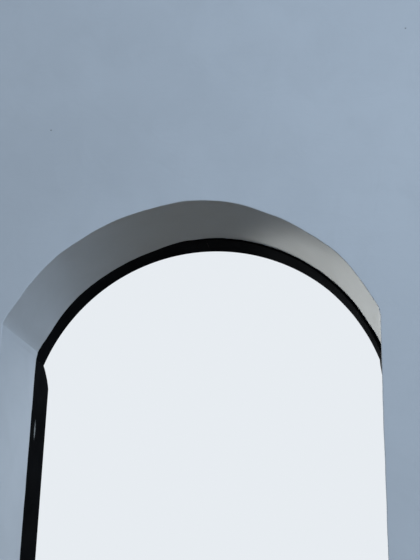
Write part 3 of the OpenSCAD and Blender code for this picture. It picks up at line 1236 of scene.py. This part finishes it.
def lay_floor(size, backdrop):
    """A plain square floor, with the gateway in the middle."""
    clear_away("stage_floor")
    half = size / 2
    corners = [(-half, -half, 0), (half, -half, 0), (half, half, 0), (-half, half, 0)]
    mesh = bpy.data.meshes.new("stage_floor")
    mesh.from_pydata(corners, [], [(0, 1, 2, 3)])
    mesh.materials.append(pale_floor(backdrop))
    floor = bpy.data.objects.new("stage_floor", mesh)
    bpy.context.scene.collection.objects.link(floor)


def hang_sky(strength, backdrop):
    """Even light from all round, and the backdrop's colour for the rays that show the background."""
    world = bpy.data.worlds.new("studio")
    world.use_nodes = True
    bpy.context.scene.world = world
    tree = world.node_tree
    light = tree.nodes["Background"]
    light.inputs["Color"].default_value = (0.96, 0.98, 1.0, 1.0)
    light.inputs["Strength"].default_value = strength
    shown = tree.nodes.new("ShaderNodeBackground")
    shown.inputs["Color"].default_value = (*backdrop, 1.0)
    shown.inputs["Strength"].default_value = 1.0
    mix = tree.nodes.new("ShaderNodeMixShader")
    tree.links.new(shows_background(tree), mix.inputs["Fac"])
    tree.links.new(light.outputs["Background"], mix.inputs[1])
    tree.links.new(shown.outputs["Background"], mix.inputs[2])
    tree.links.new(mix.outputs["Shader"], tree.nodes["World Output"].inputs["Surface"])


def area_lamp(name, place, target, width, height, power, colour):
    """A soft lamp that aims at a target, and that neither the camera nor gloss shows."""
    clear_away(name)
    light = bpy.data.lights.new(name, "AREA")
    light.shape = "RECTANGLE"
    light.size = width
    light.size_y = height
    light.energy = power
    light.color = colour
    lamp = bpy.data.objects.new(name, light)
    lamp.location = place
    lamp.rotation_euler = (Vector(target) - Vector(place)).to_track_quat("-Z", "Y").to_euler()
    lamp.visible_camera = False
    lamp.visible_glossy = False
    bpy.context.scene.collection.objects.link(lamp)
    return lamp


def photo_camera():
    """Camera at the place and angle that the edges of the gateway give."""
    clear_away("photo_camera")
    place = Vector((0.669, -3.964, 1.437))
    yaw = math.radians(-8.916)
    pitch = math.radians(19.496)
    roll = math.radians(1.252)
    level_part = math.cos(pitch)
    forward = Vector((math.sin(yaw) * level_part, math.cos(yaw) * level_part, math.sin(pitch)))
    level = Vector((math.cos(yaw), -math.sin(yaw), 0))
    right = level * math.cos(roll) + level.cross(forward) * math.sin(roll)
    up = right.cross(forward)
    lens = bpy.data.cameras.new("photo_camera")
    lens.sensor_fit = "AUTO"
    lens.sensor_width = 36
    lens.lens = 64.19
    lens.clip_end = 500
    camera = bpy.data.objects.new("photo_camera", lens)
    turn = Matrix((right, up, -forward)).transposed()
    camera.matrix_world = Matrix.Translation(place) @ turn.to_4x4()
    bpy.context.scene.collection.objects.link(camera)
    bpy.context.scene.camera = camera
    return camera


class GATEWAY_OT_stage(bpy.types.Operator):
    """Sets the floor, the soft light, the pale backdrop and the camera"""
    bl_idname = "gateway.stage"
    bl_label = "Stage"

    def execute(self, context):
        settings = context.scene.gateway_stage
        lay_floor(settings.floor, tuple(settings.backdrop))
        hang_sky(settings.sky, tuple(settings.backdrop))
        area_lamp("front_lamp", place=(6.4, -8.4, 6.2), target=(0, 0, 2.4), width=8, height=5,
                  power=settings.front_light, colour=(0.86, 0.93, 1.0))
        court_lamp = area_lamp("court_lamp", place=(-8.0, 5.0, 3.4), target=(0.55, 0, 2.9), width=3.0,
                               height=1.8, power=settings.court_light, colour=(1.0, 0.87, 0.70))
        court_lamp.data.spread = math.radians(90)
        rear_lamp = area_lamp("rear_lamp", place=(3.0, 6.0, 10.5), target=(0, 0, 2.8), width=9,
                              height=6, power=settings.rear_light, colour=(1.0, 0.99, 0.97))
        rear_lamp.visible_glossy = True
        photo_camera()
        context.scene.view_settings.view_transform = "Standard"
        return {"FINISHED"}


class GATEWAY_PT_panel(bpy.types.Panel):
    """Lists the steps that finish the gateway"""
    bl_idname = "GATEWAY_PT_panel"
    bl_label = "Arched Gateway"
    bl_space_type = "VIEW_3D"
    bl_region_type = "UI"
    bl_category = "Gateway"

    def draw(self, context):
        for operator, settings in STEPS:
            box = self.layout.box()
            box.operator(operator.bl_idname)
            group = getattr(context.scene, settings)
            for name in type(group).__annotations__:
                box.prop(group, name)


STEPS = (
    (GATEWAY_OT_wall, "gateway_wall"),
    (GATEWAY_OT_lining, "gateway_lining"),
    (GATEWAY_OT_cornice, "gateway_cornice"),
    (GATEWAY_OT_coping, "gateway_coping"),
    (GATEWAY_OT_stage, "gateway_stage"),
)
GROUPS = {
    "gateway_wall": WallSettings,
    "gateway_lining": LiningSettings,
    "gateway_cornice": CorniceSettings,
    "gateway_coping": CopingSettings,
    "gateway_stage": StageSettings,
}


def register():
    """Registers the settings, the steps and the panel."""
    for name, group in GROUPS.items():
        bpy.utils.register_class(group)
        setattr(bpy.types.Scene, name, PointerProperty(type=group))
    for operator, _ in STEPS:
        bpy.utils.register_class(operator)
    bpy.utils.register_class(GATEWAY_PT_panel)


def unregister():
    """Takes away what register added."""
    bpy.utils.unregister_class(GATEWAY_PT_panel)
    for operator, _ in reversed(STEPS):
        bpy.utils.unregister_class(operator)
    for name, group in reversed(GROUPS.items()):
        delattr(bpy.types.Scene, name)
        bpy.utils.unregister_class(group)


def main():
    """Runs every step in order."""
    register()
    bpy.ops.gateway.wall()
    bpy.ops.gateway.lining()
    bpy.ops.gateway.cornice()
    bpy.ops.gateway.coping()
    bpy.ops.gateway.stage()


if __name__ == "__main__":
    main()
